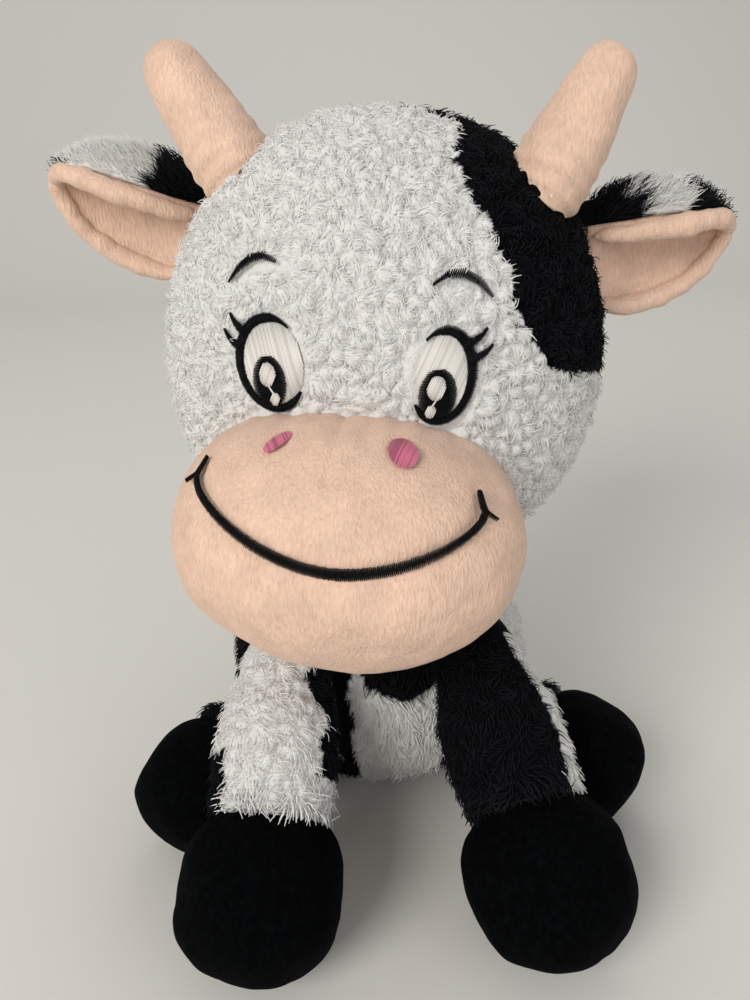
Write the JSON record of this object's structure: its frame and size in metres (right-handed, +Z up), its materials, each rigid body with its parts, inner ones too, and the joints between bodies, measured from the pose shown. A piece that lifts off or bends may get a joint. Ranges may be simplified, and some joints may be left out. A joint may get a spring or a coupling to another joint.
{
  "type": "plush cow",
  "caption": "Sitting stuffed cow with a turning head, swinging legs, folded ears, stubby horns and a wagging tail; rests on its flat seat.",
  "frame": {"origin": "middle of the flat seat under the torso", "axes": "+Z up, -Y the way the torso faces, +X the cow's own left side"},
  "size_m": [0.2748, 0.2702, 0.315],
  "materials": {
    "white_fleece": "curly off-white sherpa fleece",
    "black_fleece": "curly blue-black sherpa fleece",
    "velour": "short-pile black velour",
    "minky": "short-nap peach minky",
    "white_thread": "silvery white satin-stitched thread",
    "black_thread": "black satin-stitched thread",
    "pink_thread": "pink satin-stitched thread",
    "stuffing": "white polyester fibre",
    "pellets": "bagged plastic pellets"
  },
  "bodies": {
    "torso": {"body_cover": "white_fleece", "body_stuffing": "stuffing", "pellet_bag": "pellets"},
    "neck": {"neck_seam_ring": "white_fleece"},
    "ear_left": {"ear_left_back": "white_fleece", "ear_left_lining": "minky"},
    "front_leg_left": {"front_leg_left_cover": "black_fleece", "front_leg_left_hoof_cover": "velour", "front_leg_left_hoof_stuffing": "stuffing", "front_leg_left_stuffing": "stuffing"},
    "hind_leg_left": {"hind_leg_left_cover": "white_fleece", "hind_leg_left_hoof_cover": "velour", "hind_leg_left_hoof_stuffing": "stuffing", "hind_leg_left_stuffing": "stuffing"},
    "ear_right": {"ear_right_back": "white_fleece", "ear_right_lining": "minky"},
    "front_leg_right": {"front_leg_right_cover": "white_fleece", "front_leg_right_hoof_cover": "velour", "front_leg_right_hoof_stuffing": "stuffing", "front_leg_right_stuffing": "stuffing"},
    "hind_leg_right": {"hind_leg_right_cover": "white_fleece", "hind_leg_right_hoof_cover": "velour", "hind_leg_right_hoof_stuffing": "stuffing", "hind_leg_right_stuffing": "stuffing"},
    "tail": {"tail_tube": "white_fleece", "tail_tuft": "black_fleece"},
    "head": {"brow_left": "black_thread", "brow_right": "black_thread", "eye_left_glint": "white_thread", "eye_left_pupil": "black_thread", "eye_left_rim": "black_thread", "eye_left_spark": "white_thread", "eye_left_white": "white_thread", "eye_right_glint": "white_thread", "eye_right_pupil": "black_thread", "eye_right_rim": "black_thread", "eye_right_spark": "white_thread", "eye_right_white": "white_thread", "head_cover": "white_fleece", "head_stuffing": "stuffing", "horn_left_cover": "minky", "horn_left_stuffing": "stuffing", "horn_right_cover": "minky", "horn_right_stuffing": "stuffing", "muzzle_cover": "minky", "muzzle_stuffing": "stuffing", "nostril_left": "pink_thread", "nostril_right": "pink_thread", "smile": "black_thread"}
  },
  "joints": [
    {"name": "head_turn", "type": "hinge", "parent": "torso", "child": "neck", "pos_m": [0, 0, 0.07], "axis": [0, 0, 1], "range_deg": [-12, 26], "stiffness_Nm_per_rad": 1.6},
    {"name": "head_nod", "type": "hinge", "parent": "neck", "child": "head", "pos_m": [0, 0, 0.07], "axis": [-0.9877, 0.1564, 0], "range_deg": [-2, 12], "stiffness_Nm_per_rad": 1.6},
    {"name": "front_leg_left_swing", "type": "hinge", "parent": "torso", "child": "front_leg_left", "pos_m": [0.03695, -0.05852, 0.08777], "axis": [-0.9563, -0.2924, 0], "range_deg": [-2, 20], "stiffness_Nm_per_rad": 0.35},
    {"name": "hind_leg_left_splay", "type": "hinge", "parent": "torso", "child": "hind_leg_left", "pos_m": [0.05803, -0.04703, 0.03825], "axis": [0, 0, 1], "range_deg": [-2, 15], "stiffness_Nm_per_rad": 0.25},
    {"name": "front_leg_right_swing", "type": "hinge", "parent": "torso", "child": "front_leg_right", "pos_m": [-0.03695, -0.05852, 0.08777], "axis": [-0.9914, 0.1305, 0], "range_deg": [-2, 20], "stiffness_Nm_per_rad": 0.35},
    {"name": "hind_leg_right_splay", "type": "hinge", "parent": "torso", "child": "hind_leg_right", "pos_m": [-0.05803, -0.04703, 0.03825], "axis": [0, 0, -1], "range_deg": [-2, 15], "stiffness_Nm_per_rad": 0.25},
    {"name": "ear_left_flap", "type": "hinge", "parent": "head", "child": "ear_left", "pos_m": [0.08804, -0.00653, 0.22975], "axis": [-0.2556, 0.0405, 0.9659], "range_deg": [-10, 14], "stiffness_Nm_per_rad": 0.05},
    {"name": "ear_right_flap", "type": "hinge", "parent": "head", "child": "ear_right", "pos_m": [-0.06885, 0.01832, 0.24086], "axis": [-0.3859, 0.0611, -0.9205], "range_deg": [-10, 14], "stiffness_Nm_per_rad": 0.05},
    {"name": "tail_wag", "type": "hinge", "parent": "torso", "child": "tail", "pos_m": [0, 0.06751, 0.06703], "axis": [0, -0.788, -0.6157], "range_deg": [-25, 25], "stiffness_Nm_per_rad": 0.05}
  ]
}
